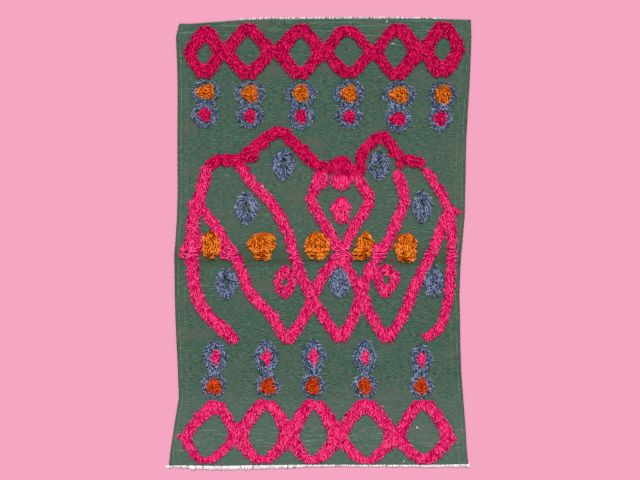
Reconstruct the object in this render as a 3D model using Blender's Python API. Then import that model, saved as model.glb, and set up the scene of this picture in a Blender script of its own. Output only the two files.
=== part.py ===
"""Wool rug: a flat-woven green ground with figures of knotted pile, lying flat.

Frame: +X to the rug's right, +Y along its length to the top border, +Z up. The
origin is in the middle of the rug's bounding box, on the surface it lies on.
The figures are a traditional lozenge and eye pattern, drawn here from sizes.
"""
import math
import random

import bmesh
import bpy
import numpy as np
from mathutils import Matrix, Vector

MM = 0.001

# The woven ground, in millimetres
GROUND_THICKNESS = 4.0
PIECE_GAP = 0.3                  # between pieces that touch on the real rug
SELVEDGE_RIB_RISE = 1.4
SELVEDGE_INSETS = (0, 3, 6, 9, 12)             # columns in from each side edge
SELVEDGE_RIBS = (0, 1, 0, 1, 0)                # which of those columns are ribs
GROUND_COLUMNS = 6               # plain columns between the two selvedges
GROUND_ROW_PITCH = 88.0
GROUND_EVEN_REACH = 700.0        # the even rows run this far each way from the middle
CREASE_ROW_CLEARANCE = 15.0      # an even row nearer than this to a crease row is left out
NOMINAL_WIDTH = 1000.0

# Side edges, uneven as woven: place along the rug, left edge, right edge
SIDE_ROWS = (
    (757, -475, 512), (700, -489, 514), (575, -483, 510), (370, -484, 497), (165, -483, 493),
    (45, -487, 490), (-35, -494, 479), (-160, -493, 473), (-280, -490, 476), (-405, -483, 477),
    (-525, -479, 486), (-610, -493, 493), (-690, -506, 497), (-755, -513, 504),
)
# Ends of the ground: place across, top edge, bottom edge
END_ROWS = (
    (-515, 744, -755), (-395, 748, -757), (-320, 760, -756), (0, 761, -752),
    (270, 762, -753), (430, 761, -754), (515, 756, -749),
)
# The low crease where the rug was folded in half: place along, lift
CREASE_ROWS = ((-85, 0.0), (-66, 1.8), (-48, 2.8), (-30, 1.8), (-11, 0.0))

# The white cut warps of the bottom end: place across, depth below the ground
END_BAND_ROWS = (
    (-522, 16), (-494, 17), (-486, 10), (-350, 12), (-200, 14), (-60, 10), (300, 9), (480, 11), (509, 14),
)
# The short cut warps of the top end: place across, depth above the ground
WARP_END_ROWS = ((-278, 7), (-150, 9), (60, 10), (300, 11), (425, 10))
WARP_THICKNESS = 2.6
WARP_TIP_THINNESS = 0.7          # thickness at the cut tips, as a share of the strip's
SHORT_WARPS = (0.6, 0.85)        # depth of every other station, as a share of the table's
END_STATION_PITCH = 19.0
CORNER_CLEARANCE = 4.0           # stations keep this far from the ground's own corner points

# The knotted pile, in millimetres
PILE_HEIGHT = 10.5
CREST_RANGE = (0.8, 1.0)         # share of the full height that a crest reaches
CROWN_RANGE = (0.85, 1.0)        # the same on the crown of a tuft
STATION_PITCH = 19.0             # one lock at a rim every two stations
POINTS_A_SPAN = 24               # fine points between two knots of a route
BAND_END_FULLNESS = 0.72         # width and height where a band ends
BAND_CREST_PLACE = 0.5           # a crest's place between the route and the rim
LOCK_REACH = (0.0, 2.5)          # how far a lock's tip stops short of the rim
NOTCH_DEPTH = (3.5, 6.5)         # how far the rim draws in between two locks

# Lozenge borders. The outer rim, then the hole: centre across, centre along, half size
# across, reach up, reach down. Then the lean of the top, the power (1 pointed, 2 round)
# and the bluntness: how many times further out the sides would meet than the blunt tip
TOP_LOZENGES = (
    ((-390, 646, 78, 92, 90), (-391, 640, 24, 37, 34), 3, 1.22, 1.22),
    ((-244, 649, 108, 98, 97), (-244, 650, 43, 51, 50), 0, 1.03, 1.26),
    ((-68, 649, 108, 98, 97), (-66, 646, 38, 52, 51), 1, 1.03, 1.24),
    ((93, 649, 106, 92, 92), (97, 649, 50, 54, 53), -3, 1.03, 1.36),
    ((264, 649, 107, 98, 98), (256, 650, 39, 52, 56), 3, 1.03, 1.3),
    ((415, 655, 80, 99, 97), (416, 657, 27, 39, 36), 4, 1.3, 1.22),
)
BOTTOM_LOZENGES = (
    ((-374, -658, 110, 125, 92), (-372, -657, 61, 78, 70), 20, 1.14, 1.27),
    ((-191, -656, 125, 126, 94), (-189, -652, 52, 88, 70), 8, 1.1, 1.27),
    ((-22, -656, 123, 126, 94), (-22, -654, 46, 90, 70), 3, 1.1, 1.27),
    ((157, -660, 127, 130, 90), (157, -653, 60, 75, 73), -2, 1.1, 1.27),
    ((353, -660, 116, 131, 90), (351, -656, 57, 92, 58), -3, 1.14, 1.27),
)
LOZENGE_SPOKES = 28

# Strands of the middle field. Half width, then the knots of the route (across, along)
PINK_STRANDS = {
    "left_outer": (24, (
        (-384, 248), (-409, 150), (-428, 90), (-435, -30), (-421, -165), (-382, -241), (-281, -333))),
    "left_inner": (21, (
        (-410, 130), (-358, 65), (-319, 0), (-271, -82), (-237, -167), (-166, -243), (-110, -337))),
    "left_arch": (21, (
        (-264, 248), (-220, 195), (-164, 135), (-112, 40), (-83, -54), (-35, -172), (69, -332))),
    "centre_right": (21, (
        (-110, -337), (-58, -257), (-19, -171), (7, -112), (70, -40), (108, 41), (167, 145), (137, 202),
        (126, 236))),
    "centre_left": (21, (
        (-1, 240), (-15, 190), (-30, 145), (0, 90), (40, 25), (70, -40), (100, -100), (138, -165),
        (175, -250), (228, -332))),
    "right_arch": (21, (
        (69, -332), (116, -246), (143, -165), (168, -85), (213, -25), (256, 62), (286, 150), (259, 246))),
    "right_inner": (21, (
        (228, -332), (281, -245), (325, -138), (369, -54), (405, 33), (432, 108))),
    "right_outer": (19, (
        (357, 252), (389, 205), (433, 121), (448, 25), (442, -95), (435, -182), (407, -283), (352, -324))),
    "right_spur": (15, ((425, 120), (474, 105))),
}
LEFT_ROOF = {
    "left_roof": (24, (
        (-375, 262), (-345, 281), (-270, 284), (-215, 330), (-140, 378), (-88, 340), (-46, 299),
        (-6, 257))),
    "left_stub": (17, ((-285, 280), (-268, 257))),
}
RIGHT_ROOF = {
    "right_roof": (22, (
        (130, 252), (145, 305), (172, 339), (215, 366), (236, 338), (258, 306), (288, 284), (325, 278),
        (352, 262))),
    "right_stub": (17, ((274, 284), (266, 257))),
}

# Round figures: centre across, centre along, half size across, half size along
PINK_TUFTS = {"cap_pink": (72, 208, 36, 30), "pink_tuft": (71, 115, 40, 50)}
CAP_CRIMSON = (70, 270, 40, 30)
LEFT_KNOT = (-418, 132, 34, 28)
ORANGE_TUFTS = (
    (-376, -8, 27, 51), (-196, -10, 50, 52), (-13, -8, 40, 54), (153, 2, 34, 44), (291, -14, 40, 55),
)
# Rings: centre across, centre along, outer half sizes, hole half sizes
PINK_RINGS = ((-119, -131, 42, 62, 8, 16), (223, -122, 43, 61, 11, 12))
FIELD_EYES = (
    (-124, 266, 42, 56, 4, 8), (-250, 118, 42, 60, 4, 8), (-319, -138, 40, 57, 4, 12),
    (200, 264, 40, 53, 5, 7), (346, 125, 36, 60, 4, 7), (63, -139, 34, 45, 4, 7),
    (390, -136, 30, 46, 4, 8),
)
# Pairs of eyes, one above the other. For the upper and the lower eye: centre across, centre
# along, its middle's half sizes across and along, its ring's half sizes across and along
TOP_EYE_PAIRS = (
    ((-387, 513, 36, 29, 51, 40), (-390, 437, 25, 26, 49, 45)),
    ((-238, 507, 33, 32, 56, 43), (-238, 431, 24, 28, 50, 42)),
    ((-65, 508, 30, 34, 56, 42), (-65, 429, 22, 28, 49, 42)),
    ((99, 507, 32, 33, 56, 46), (99, 429, 24, 27, 48, 42)),
    ((268, 503, 38, 31, 59, 44), (264, 421, 30, 26, 45, 46)),
    ((417, 503, 34, 34, 50, 46), (408, 423, 26, 29, 43, 43)),
)
BOTTOM_EYE_PAIRS = (
    ((-354, -388, 21, 32, 46, 64), (-360, -484, 28, 31, 45, 41)),
    ((-181, -388, 21, 33, 46, 64), (-177, -484, 29, 31, 45, 41)),
    ((-21, -387, 20, 35, 46, 64), (-24, -484, 27, 32, 45, 41)),
    ((153, -388, 19, 32, 46, 64), (152, -484, 25, 32, 45, 41)),
    ((343, -396, 19, 32, 43, 57), (343, -484, 24, 32, 43, 41)),
)
MIDDLE_CLEARANCE = 1.5           # between a ring's hole and the tuft in it

# How rings and tufts are rounded, and where their crests stand
ELLIPSE = 2.0                    # the power of a true ellipse
TALL_EYE_POWER = 1.65            # the tall eyes below the field narrow to their top
FIELD_EYE_POWER = 1.8
PINK_RING_POWER = 1.7
HOLE_ROUNDER = 1.1               # a hole's power beside its ring's
HOLE_DRAW = 0.6                  # a hole's rim moves less than the outer rim
WAIST_SINE = 0.9                 # spokes steeper than this point at the other ring of a pair
EYE_SPOKES = 16
EYE_CRESTS = (0.5,)              # places of the crests from the outer rim to the hole
LOZENGE_CRESTS = (0.32, 0.68)
TUFT_SPOKES = 14
TUFT_CROWN = 0.62                # reach of a tuft's flat crown beside its rim's

# Tolerances of the finishing cuts
WELD_REACH = 0.02
CUT_TOLERANCE = 0.01

# Yarn colours, as seen in daylight
COLOURS = {
    "green_wool": (76, 98, 82), "white_warp": (226, 220, 208), "crimson_wool": (184, 10, 72),
    "pink_wool": (222, 40, 106), "orange_wool": (206, 94, 12), "rust_wool": (178, 57, 13),
    "blue_wool": (80, 95, 116),
}


def clear_scene():
    for thing in list(bpy.data.objects):
        bpy.data.objects.remove(thing, do_unlink=True)


def yarn(name):
    """A matt wool material in one of the rug's colours."""
    material = bpy.data.materials.get(name)
    if material:
        return material
    material = bpy.data.materials.new(name)
    material.use_nodes = True
    shader = material.node_tree.nodes["Principled BSDF"]
    linear = [((value / 255 + 0.055) / 1.055) ** 2.4 for value in COLOURS[name]]
    shader.inputs["Base Color"].default_value = (*linear, 1.0)
    shader.inputs["Roughness"].default_value = 0.92
    shader.inputs["Metallic"].default_value = 0.0
    return material


def move_to(collection, thing):
    for holder in list(thing.users_collection):
        holder.objects.unlink(thing)
    collection.objects.link(thing)


def between(rows, place, column):
    """A table's column read at a place between its rows, in straight runs."""
    rows = sorted(rows)
    return float(np.interp(place, [row[0] for row in rows], [row[column] for row in rows]))


def crease_lift(along):
    return between(CREASE_ROWS, along, 1)


def new_object(name, mesh_builder):
    """Wrap a finished bmesh, worked out in millimetres, in an object in metres."""
    bmesh.ops.recalc_face_normals(mesh_builder, faces=mesh_builder.faces)
    bmesh.ops.scale(mesh_builder, vec=(MM, MM, MM), verts=mesh_builder.verts)
    mesh = bpy.data.meshes.new(name)
    mesh_builder.to_mesh(mesh)
    mesh_builder.free()
    thing = bpy.data.objects.new(name, mesh)
    bpy.context.scene.collection.objects.link(thing)
    return thing


def loft(name, sections, closed):
    """A solid through sections of the same number of points, capped unless the path closes."""
    builder = bmesh.new()
    loops = [[builder.verts.new(point) for point in section] for section in sections]
    pairs = list(zip(loops, loops[1:]))
    if closed:
        pairs.append((loops[-1], loops[0]))
    for first, second in pairs:
        for i in range(len(first)):
            j = (i + 1) % len(first)
            builder.faces.new((first[i], first[j], second[j], second[i]))
    if not closed:
        builder.faces.new(loops[0])
        builder.faces.new(loops[-1])
    return new_object(name, builder)


def smooth_route(knots, pitch):
    """Evenly spaced stations on a Catmull-Rom curve through the knots, and its directions."""
    knots = np.array(knots, float)
    ends = np.vstack((2 * knots[0] - knots[1], knots, 2 * knots[-1] - knots[-2]))
    u = np.linspace(0, 1, POINTS_A_SPAN, endpoint=False)[:, None]
    spans = []
    for a, b, c, d in zip(ends, ends[1:], ends[2:], ends[3:]):
        slope = c - a
        bend = 2 * a - 5 * b + 4 * c - d
        twist = 3 * b - a - 3 * c + d
        spans.append(0.5 * (2 * b + slope * u + bend * u**2 + twist * u**3))
    dense = np.vstack(spans + [knots[-1:]])
    run = np.concatenate(([0], np.cumsum(np.linalg.norm(np.diff(dense, axis=0), axis=1))))
    count = max(3, round(run[-1] / pitch) + 1)
    marks = np.linspace(0, run[-1], count)
    places = np.stack([np.interp(marks, run, dense[:, axis]) for axis in (0, 1)], axis=1)
    headings = np.gradient(places, axis=0)
    return places, headings / np.linalg.norm(headings, axis=1)[:, None]


def rim_draw(dice, is_lock):
    """How far a rim stops short of its full width, at a lock's tip or in a notch."""
    return dice.uniform(*LOCK_REACH) if is_lock else dice.uniform(*NOTCH_DEPTH)


def pile_band(name, half_width, knots, seed):
    """A band of pile: each section has its own two rims and two crests, so locks stand out."""
    dice = random.Random(seed)
    places, headings = smooth_route(knots, STATION_PITCH)
    sections = []
    for i, (place, heading) in enumerate(zip(places, headings)):
        side = np.array((-heading[1], heading[0]))
        at_end = i in (0, len(places) - 1)
        fullness = BAND_END_FULLNESS if at_end else 1.0
        section = []
        for sign, is_lock in ((1, i % 2 == 0), (-1, i % 2 == 1)):
            reach = (half_width - rim_draw(dice, is_lock)) * fullness
            crest = PILE_HEIGHT * dice.uniform(*CREST_RANGE) * fullness
            rim_point = (*(place + side * sign * reach), 0.0)
            crest_point = (*(place + side * sign * reach * BAND_CREST_PLACE), crest)
            section.append((rim_point, crest_point))
        (left_rim, left_crest), (right_rim, right_crest) = section
        sections.append((left_rim, left_crest, right_crest, right_rim))
    return loft(name, sections, closed=False)


def spoke(angle, across, along, power):
    """Distance from the centre to a rounded rhombus (power 1 is pointed, 2 is an ellipse)."""
    return ((abs(math.cos(angle)) / across)**power + (abs(math.sin(angle)) / along)**power)**(-1 / power)


def rim_place(figure, angle, power, bluntness, draw, lean):
    """A point of a rim: the centre, a spoke out of it that a blunt tip cuts short, and the lean."""
    across_centre, along_centre, across, up, down = figure
    along = up if math.sin(angle) > 0 else down
    reach = spoke(angle, across, along * bluntness, power)
    if reach * abs(math.sin(angle)) > along:
        reach = along / abs(math.sin(angle))
    reach -= draw
    rise = math.sin(angle) * reach
    return np.array((across_centre + math.cos(angle) * reach + lean * rise / up, along_centre + rise))


def pile_ring(name, outer, hole, power, spokes, seed, lean=0.0, bluntness=1.0, paired=False):
    """A ring of pile round a hole. Spokes from its centre carry the outer rim, the crests and the inner rim.

    A paired ring keeps its full reach where it meets its neighbour, and a smooth hole for its middle.
    """
    dice = random.Random(seed)
    hole_power = min(ELLIPSE, power * HOLE_ROUNDER)
    crest_places = LOZENGE_CRESTS if spokes == LOZENGE_SPOKES else EYE_CRESTS
    sections = []
    for k in range(spokes):
        angle = math.tau * k / spokes
        is_lock = k % 2 == 0 or (paired and abs(math.sin(angle)) > WAIST_SINE)
        outer_rim = rim_place(outer, angle, power, bluntness, rim_draw(dice, is_lock), lean)
        hole_draw = 0.0 if paired else rim_draw(dice, k % 2 == 1) * HOLE_DRAW
        inner_rim = rim_place(hole, angle, hole_power, 1.0, -hole_draw, lean)
        crest = PILE_HEIGHT * dice.uniform(*CREST_RANGE)
        crests = [(place, crest) for place in crest_places]
        section = []
        for blend, height in ((0.0, 0.0), *crests, (1.0, 0.0)):
            section.append((*(outer_rim + (inner_rim - outer_rim) * blend), height))
        sections.append(section)
    return loft(name, sections, closed=True)


def even_ring(name, figure, power, seed, paired=False):
    """A ring from one centre and two pairs of half sizes, the same above and below the centre."""
    across_centre, along_centre, outer_across, outer_along, hole_across, hole_along = figure
    outer = (across_centre, along_centre, outer_across, outer_along, outer_along)
    hole = (across_centre, along_centre, hole_across, hole_along, hole_along)
    return pile_ring(name, outer, hole, power, EYE_SPOKES, seed, paired=paired)


def pile_tuft(name, figure, seed, power=ELLIPSE):
    """A low ragged dome of pile, from a cone whose rim and crown are moved."""
    across_centre, along_centre, across, along = figure
    dice = random.Random(seed)
    builder = bmesh.new()
    bmesh.ops.create_cone(
        builder, cap_ends=True, cap_tris=True, segments=TUFT_SPOKES, radius1=1.0, radius2=TUFT_CROWN,
        depth=2.0)
    for vert in builder.verts:
        angle = math.atan2(vert.co.y, vert.co.x)
        radius = math.hypot(vert.co.x, vert.co.y)
        is_rim = vert.co.z < 0 and radius > TUFT_CROWN
        is_lock = round(angle / math.tau * TUFT_SPOKES) % 2 == 0
        reach = spoke(angle, across, along, power)
        if is_rim:
            reach -= rim_draw(dice, is_lock)
        height = PILE_HEIGHT * dice.uniform(*CROWN_RANGE) if vert.co.z > 0 else 0.0
        vert.co = (
            across_centre + math.cos(angle) * reach * radius,
            along_centre + math.sin(angle) * reach * radius,
            height,
        )
    return new_object(name, builder)


def evaluated_mesh(thing):
    bpy.context.view_layer.update()
    graph = bpy.context.evaluated_depsgraph_get()
    return bpy.data.meshes.new_from_object(thing.evaluated_get(graph))


def fuse(name, bodies, material):
    """One solid out of overlapping bodies, laid on the ground.

    Their undersides share one level, so the union uses the solver that keeps level faces whole.
    """
    base = bodies[0]
    others = bpy.data.collections.new(name + "_bodies")
    for body in bodies[1:]:
        others.objects.link(body)
    if len(bodies) > 1:
        union = base.modifiers.new("union", "BOOLEAN")
        union.operation = "UNION"
        union.solver = "MANIFOLD"
        union.operand_type = "COLLECTION"
        union.collection = others
    mesh = evaluated_mesh(base)
    for body in bodies:
        bpy.data.objects.remove(body, do_unlink=True)
    bpy.data.collections.remove(others)
    lay_on_ground(mesh)
    mesh.name = name
    mesh.materials.clear()
    mesh.materials.append(yarn(material))
    rug.objects.link(bpy.data.objects.new(name, mesh))


def lay_on_ground(mesh):
    """Cut the faces at the crease's rows, then lift every point onto the ground below it."""
    builder = bmesh.new()
    builder.from_mesh(mesh)
    bmesh.ops.remove_doubles(builder, verts=builder.verts, dist=WELD_REACH * MM)
    bmesh.ops.dissolve_degenerate(builder, edges=builder.edges, dist=WELD_REACH * MM)
    bmesh.ops.triangulate(builder, faces=builder.faces)
    lowest = min(vert.co.y for vert in builder.verts)
    highest = max(vert.co.y for vert in builder.verts)
    for along, _ in CREASE_ROWS:
        if lowest < along * MM < highest:
            everything = [*builder.verts, *builder.edges, *builder.faces]
            bmesh.ops.bisect_plane(
                builder, geom=everything, dist=CUT_TOLERANCE * MM, plane_co=(0, along * MM, 0),
                plane_no=(0, 1, 0))
    for vert in builder.verts:
        vert.co.z += (GROUND_THICKNESS + PIECE_GAP + crease_lift(vert.co.y / MM)) * MM
    bmesh.ops.triangulate(builder, faces=builder.faces)
    builder.to_mesh(mesh)
    builder.free()


def ground_columns():
    """Each column's weight between the side edges, its inset in millimetres, and whether it is a rib."""
    left = [(0.0, inset, rib) for inset, rib in zip(SELVEDGE_INSETS, SELVEDGE_RIBS)]
    middle = [((i + 1) / (GROUND_COLUMNS + 1), 0.0, 0) for i in range(GROUND_COLUMNS)]
    right = [(1.0, -inset, rib) for _, inset, rib in reversed(left)]
    return left + middle + right


def end_edge(row_column):
    """The ground's own corner points along one end, as places across and along."""
    points = []
    for weight, inset, _ in ground_columns():
        along = between(END_ROWS, NOMINAL_WIDTH * (weight - 0.5) + inset, row_column)
        left = between(SIDE_ROWS, along, 1)
        right = between(SIDE_ROWS, along, 2)
        points.append((left + (right - left) * weight + inset, along))
    return points


def ground_rows():
    """Places along the rug: the two ends, even rows between them, and the crease's own rows."""
    count = round(2 * GROUND_EVEN_REACH / GROUND_ROW_PITCH)
    even = np.linspace(-GROUND_EVEN_REACH, GROUND_EVEN_REACH, count + 1)
    crease = [row[0] for row in CREASE_ROWS]
    kept = [along for along in even if min(abs(along - row) for row in crease) > CREASE_ROW_CLEARANCE]
    return sorted(kept + crease)


def woven_ground():
    """The flat-woven cloth, a grid shaped to the uneven edges, thickened, with ribs and the crease.

    The grid starts as a unit square, whose points are sorted into columns and rows by their places.
    """
    columns = ground_columns()
    rows = [None, *ground_rows(), None]
    builder = bmesh.new()
    bmesh.ops.create_grid(builder, x_segments=len(columns) - 1, y_segments=len(rows) - 1, size=0.5)
    bottom = list(builder.verts)
    ends = {0: end_edge(2), len(rows) - 1: end_edge(1)}
    for vert in bottom:
        column = round((vert.co.x + 0.5) * (len(columns) - 1))
        row = round((vert.co.y + 0.5) * (len(rows) - 1))
        weight, inset, rib = columns[column]
        if row in ends:
            vert.co = (*ends[row][column], rib)
            continue
        left = between(SIDE_ROWS, rows[row], 1)
        right = between(SIDE_ROWS, rows[row], 2)
        vert.co = (left + (right - left) * weight + inset, rows[row], rib)
    extruded = bmesh.ops.extrude_face_region(builder, geom=builder.faces[:])
    top = [item for item in extruded["geom"] if isinstance(item, bmesh.types.BMVert)]
    for vert in top:
        vert.co.z = GROUND_THICKNESS + vert.co.z * SELVEDGE_RIB_RISE + crease_lift(vert.co.y)
    top_set = set(top)
    under = [vert for vert in builder.verts if vert not in top_set]
    for vert in under:
        vert.co.z = 0.0
    flat_edges = [edge for edge in builder.edges if all(vert.co.z == 0.0 for vert in edge.verts)]
    bmesh.ops.dissolve_limit(builder, angle_limit=0.001, verts=under, edges=flat_edges)
    thing = new_object("ground", builder)
    move_to(rug, thing)
    thing.data.materials.append(yarn("green_wool"))


def cut_warps(name, rows, edge_column, outward, seed):
    """A narrow strip along one end, its outer side ragged with cut warp ends."""
    dice = random.Random(seed)
    first, last = rows[0][0], rows[-1][0]
    count = round((last - first) / END_STATION_PITCH)
    ground_edge = end_edge(edge_column)
    corners = [across for across, _ in ground_edge if first < across < last]
    stations = np.linspace(first, last, count + 1)
    apart = []
    for across in stations:
        if min(abs(across - corner) for corner in corners) > CORNER_CLEARANCE:
            apart.append(across)
    sections = []
    for i, across in enumerate(sorted(corners + apart)):
        edge = between(ground_edge, across, 1) + outward * PIECE_GAP
        depth = between(rows, across, 1) * (1.0 if i % 2 else dice.uniform(*SHORT_WARPS))
        top = WARP_THICKNESS * dice.uniform(*CROWN_RANGE)
        tip_top = top * WARP_TIP_THINNESS
        outer = edge + outward * depth
        sections.append((
            (across, edge, 0), (across, edge, top), (across, outer, tip_top), (across, outer, 0)))
    thing = loft(name, sections, closed=False)
    move_to(rug, thing)
    thing.data.materials.append(yarn("white_warp"))


def lozenge_border(name, rows, material, seed):
    bodies = []
    for i, (outer, hole, lean, power, bluntness) in enumerate(rows):
        bodies.append(pile_ring(
            f"{name}_{i}", outer, hole, power, LOZENGE_SPOKES, seed + i, lean=lean, bluntness=bluntness))
    fuse(name, bodies, material)


def strands(name, table, material, seed, tufts=()):
    bodies = []
    for i, (key, (half_width, knots)) in enumerate(table.items()):
        bodies.append(pile_band(key, half_width, knots, seed + i))
    for i, figure in enumerate(tufts):
        bodies.append(pile_tuft(f"{name}_tuft_{i}", figure, seed + 50 + i))
    fuse(name, bodies, material)


def eye_pairs(name, pairs, upper_power, upper_wool, lower_wool, seed):
    """Two blue rings fused one above the other, each round a tuft of its own wool."""
    for i, (upper, lower) in enumerate(pairs):
        rings = []
        for part, wool, power, eye in (
                ("upper", upper_wool, upper_power, upper), ("lower", lower_wool, ELLIPSE, lower)):
            across, along, half_x, half_y, ring_x, ring_y = eye
            dice_seed = seed + 10 * i + len(rings)
            figure = (
                across, along, ring_x, ring_y, half_x + MIDDLE_CLEARANCE, half_y + MIDDLE_CLEARANCE)
            rings.append(even_ring(f"{name}_{part}_ring", figure, power, dice_seed, paired=True))
            middle = pile_tuft(
                f"{name}_{part}_middle", (across, along, half_x, half_y), dice_seed + 100, power)
            fuse(f"{name}_{part}_{i + 1}", [middle], wool)
        fuse(f"{name}_{i + 1}", rings, "blue_wool")


def centre_on_origin(collection):
    """Move every mesh so that the rug's bounding box is centred over the origin."""
    points = [vert.co for thing in collection.objects for vert in thing.data.vertices]
    shift = Vector((0.0, 0.0, 0.0))
    for axis in (0, 1):
        values = [point[axis] for point in points]
        shift[axis] = -(min(values) + max(values)) / 2
    for thing in collection.objects:
        thing.data.transform(Matrix.Translation(shift))


clear_scene()
rug = bpy.data.collections.new("wool_rug")
bpy.context.scene.collection.children.link(rug)

woven_ground()
cut_warps("end_band", END_BAND_ROWS, 2, -1, seed=3)
cut_warps("warp_ends", WARP_END_ROWS, 1, 1, seed=5)
lozenge_border("top_lozenges", TOP_LOZENGES, "crimson_wool", seed=11)
lozenge_border("bottom_lozenges", BOTTOM_LOZENGES, "pink_wool", seed=31)
strands("field_strands", PINK_STRANDS, "pink_wool", seed=51, tufts=(LEFT_KNOT,))
strands("roof_left", LEFT_ROOF, "crimson_wool", seed=131)
strands("roof_right", RIGHT_ROOF, "crimson_wool", seed=141)
fuse("cap_crimson", [pile_tuft("cap", CAP_CRIMSON, 151)], "crimson_wool")
for order, (key, figure) in enumerate(PINK_TUFTS.items()):
    fuse(key, [pile_tuft(key, figure, 161 + order)], "pink_wool")
for order, figure in enumerate(PINK_RINGS):
    ring = even_ring("ring", figure, PINK_RING_POWER, 171 + order)
    fuse(f"pink_ring_{order + 1}", [ring], "pink_wool")
for order, figure in enumerate(FIELD_EYES):
    ring = even_ring("ring", figure, FIELD_EYE_POWER, 181 + order)
    fuse(f"field_eye_{order + 1}", [ring], "blue_wool")
for order, figure in enumerate(ORANGE_TUFTS):
    fuse(f"orange_tuft_{order + 1}", [pile_tuft("tuft", figure, 201 + order)], "orange_wool")
eye_pairs("top_eye", TOP_EYE_PAIRS, ELLIPSE, "orange_wool", "crimson_wool", seed=300)
eye_pairs("bottom_eye", BOTTOM_EYE_PAIRS, TALL_EYE_POWER, "pink_wool", "rust_wool", seed=600)
centre_on_origin(rug)
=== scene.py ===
"""Wool rug: its looks. A flat-woven green ground cloth with figures of knotted pile, seen from above.

Metres, +Y along the rug towards its top border, +Z up. The solids give each figure's outline,
and every lock of yarn below is placed by that outline.
"""
import math

import bpy
import numpy as np
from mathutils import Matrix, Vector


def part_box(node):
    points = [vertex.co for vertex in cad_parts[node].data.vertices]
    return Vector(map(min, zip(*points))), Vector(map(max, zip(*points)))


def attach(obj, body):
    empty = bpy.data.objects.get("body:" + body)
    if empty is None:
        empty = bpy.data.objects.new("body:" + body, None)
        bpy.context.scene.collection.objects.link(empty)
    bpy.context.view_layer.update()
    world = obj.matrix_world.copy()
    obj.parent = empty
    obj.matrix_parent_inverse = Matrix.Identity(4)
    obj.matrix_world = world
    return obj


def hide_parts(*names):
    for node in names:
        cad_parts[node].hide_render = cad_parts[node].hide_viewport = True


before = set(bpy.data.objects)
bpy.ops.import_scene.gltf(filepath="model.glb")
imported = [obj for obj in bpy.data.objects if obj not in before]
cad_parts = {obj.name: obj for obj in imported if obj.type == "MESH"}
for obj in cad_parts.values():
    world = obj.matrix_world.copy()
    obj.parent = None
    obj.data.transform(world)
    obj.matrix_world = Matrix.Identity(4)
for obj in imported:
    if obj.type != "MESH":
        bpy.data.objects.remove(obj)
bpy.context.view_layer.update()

MM = 0.001

# The ground cloth: green wool weft beaten over hidden warps, 4 mm thick, woven in one piece with its
# two corded selvedges. The side edges wander, as on a hand loom, and one soft crease crosses the
# middle where the rug was folded in half.

GROUND_TOP = 4.0 * MM
GROUND_SIZE = (1.0, 1.515)          # woven width and length, lying flat
MIDDLE_COLUMNS = 62
GROUND_ROWS = 400
SELVEDGE_WIDTH = 13.5 * MM
SELVEDGE_COLUMNS = 10
SELVEDGE_CORDS = (3 * MM, 9 * MM)   # how far in the two thick warp cords lie
CORD_WIDTH = 2.2 * MM
CORD_RISE = 1.1 * MM
EDGE_ROUNDING = 1.2 * MM
EDGE_WANDER = 0.5 * MM              # the weft's turns push the edge in and out this much
WANDER_SIZE = 0.11                  # length of those waves, 12 times as short along the edge
WEFT_RELIEF = 0.34 * MM             # how far single weft threads stand up
COCKLE_RISE = 0.3 * MM              # slow waves of a cloth that lies loose
COCKLE_SIZE = 0.16                  # length of those waves
END_ROWS_FROM = 0.72                # past this distance along, a rim point belongs to an end
CREASE_ALONG = np.array((-85, -66, -48, -30, -11)) * MM
CREASE_LIFT = np.array((0, 1.8, 2.8, 1.8, 0)) * MM


def corners_of(node):
    """A solid's triangles as an array (triangle, corner, xyz)."""
    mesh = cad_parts[node].data
    points = np.empty(len(mesh.vertices) * 3, np.float32)
    mesh.vertices.foreach_get("co", points)
    order = np.empty(len(mesh.loops), np.int32)
    mesh.loops.foreach_get("vertex_index", order)
    return points.reshape(-1, 3)[order].reshape(-1, 3, 3).astype(float)


def rim_of(node):
    """A solid's outline from above, as segments (segment, end, xy).

    They are the edges that only one triangle of its flat underside has.
    """
    corners = corners_of(node)
    normals = np.cross(corners[:, 1] - corners[:, 0], corners[:, 2] - corners[:, 0])
    facing_down = normals[:, 2] < -0.5 * np.linalg.norm(normals, axis=1)
    under = np.round(corners[facing_down][:, :, :2], 5)
    ends = np.concatenate([under[:, [i, (i + 1) % 3]] for i in range(3)])
    first, second = ends[:, 0], ends[:, 1]
    swapped = (first[:, 0] > second[:, 0]) | ((first[:, 0] == second[:, 0]) & (first[:, 1] > second[:, 1]))
    ends[swapped] = ends[swapped][:, ::-1]
    edges, times = np.unique(ends.reshape(-1, 4), axis=0, return_counts=True)
    return edges[times == 1].reshape(-1, 2, 2)


def crease_lift(along):
    """How far the crease lifts the ground, in straight runs between its rows."""
    return np.interp(along, CREASE_ALONG, CREASE_LIFT)


def mesh_piece(name, points, polygons, material):
    """A smooth mesh object from points (n, 3) and arrays of faces with equal numbers of corners."""
    sizes = np.concatenate([np.full(len(faces), faces.shape[1]) for faces in polygons])
    starts = np.concatenate(([0], np.cumsum(sizes)[:-1]))
    corners = np.concatenate([faces.ravel() for faces in polygons])
    mesh = bpy.data.meshes.new(name)
    mesh.vertices.add(len(points))
    mesh.vertices.foreach_set("co", np.asarray(points, np.float32).ravel())
    mesh.loops.add(len(corners))
    mesh.loops.foreach_set("vertex_index", corners.astype(np.int32))
    mesh.polygons.add(len(sizes))
    mesh.polygons.foreach_set("loop_start", starts.astype(np.int32))
    mesh.update(calc_edges=True)
    mesh.shade_smooth()
    mesh.materials.append(material)
    made = bpy.data.objects.new(name, mesh)
    bpy.context.scene.collection.objects.link(made)
    return made


def point_values(piece, name, values):
    """Store one number for each point of a piece, for its material to read."""
    layer = piece.data.attributes.new(name, "FLOAT", "POINT")
    layer.data.foreach_set("value", np.asarray(values, np.float32).ravel())


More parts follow.
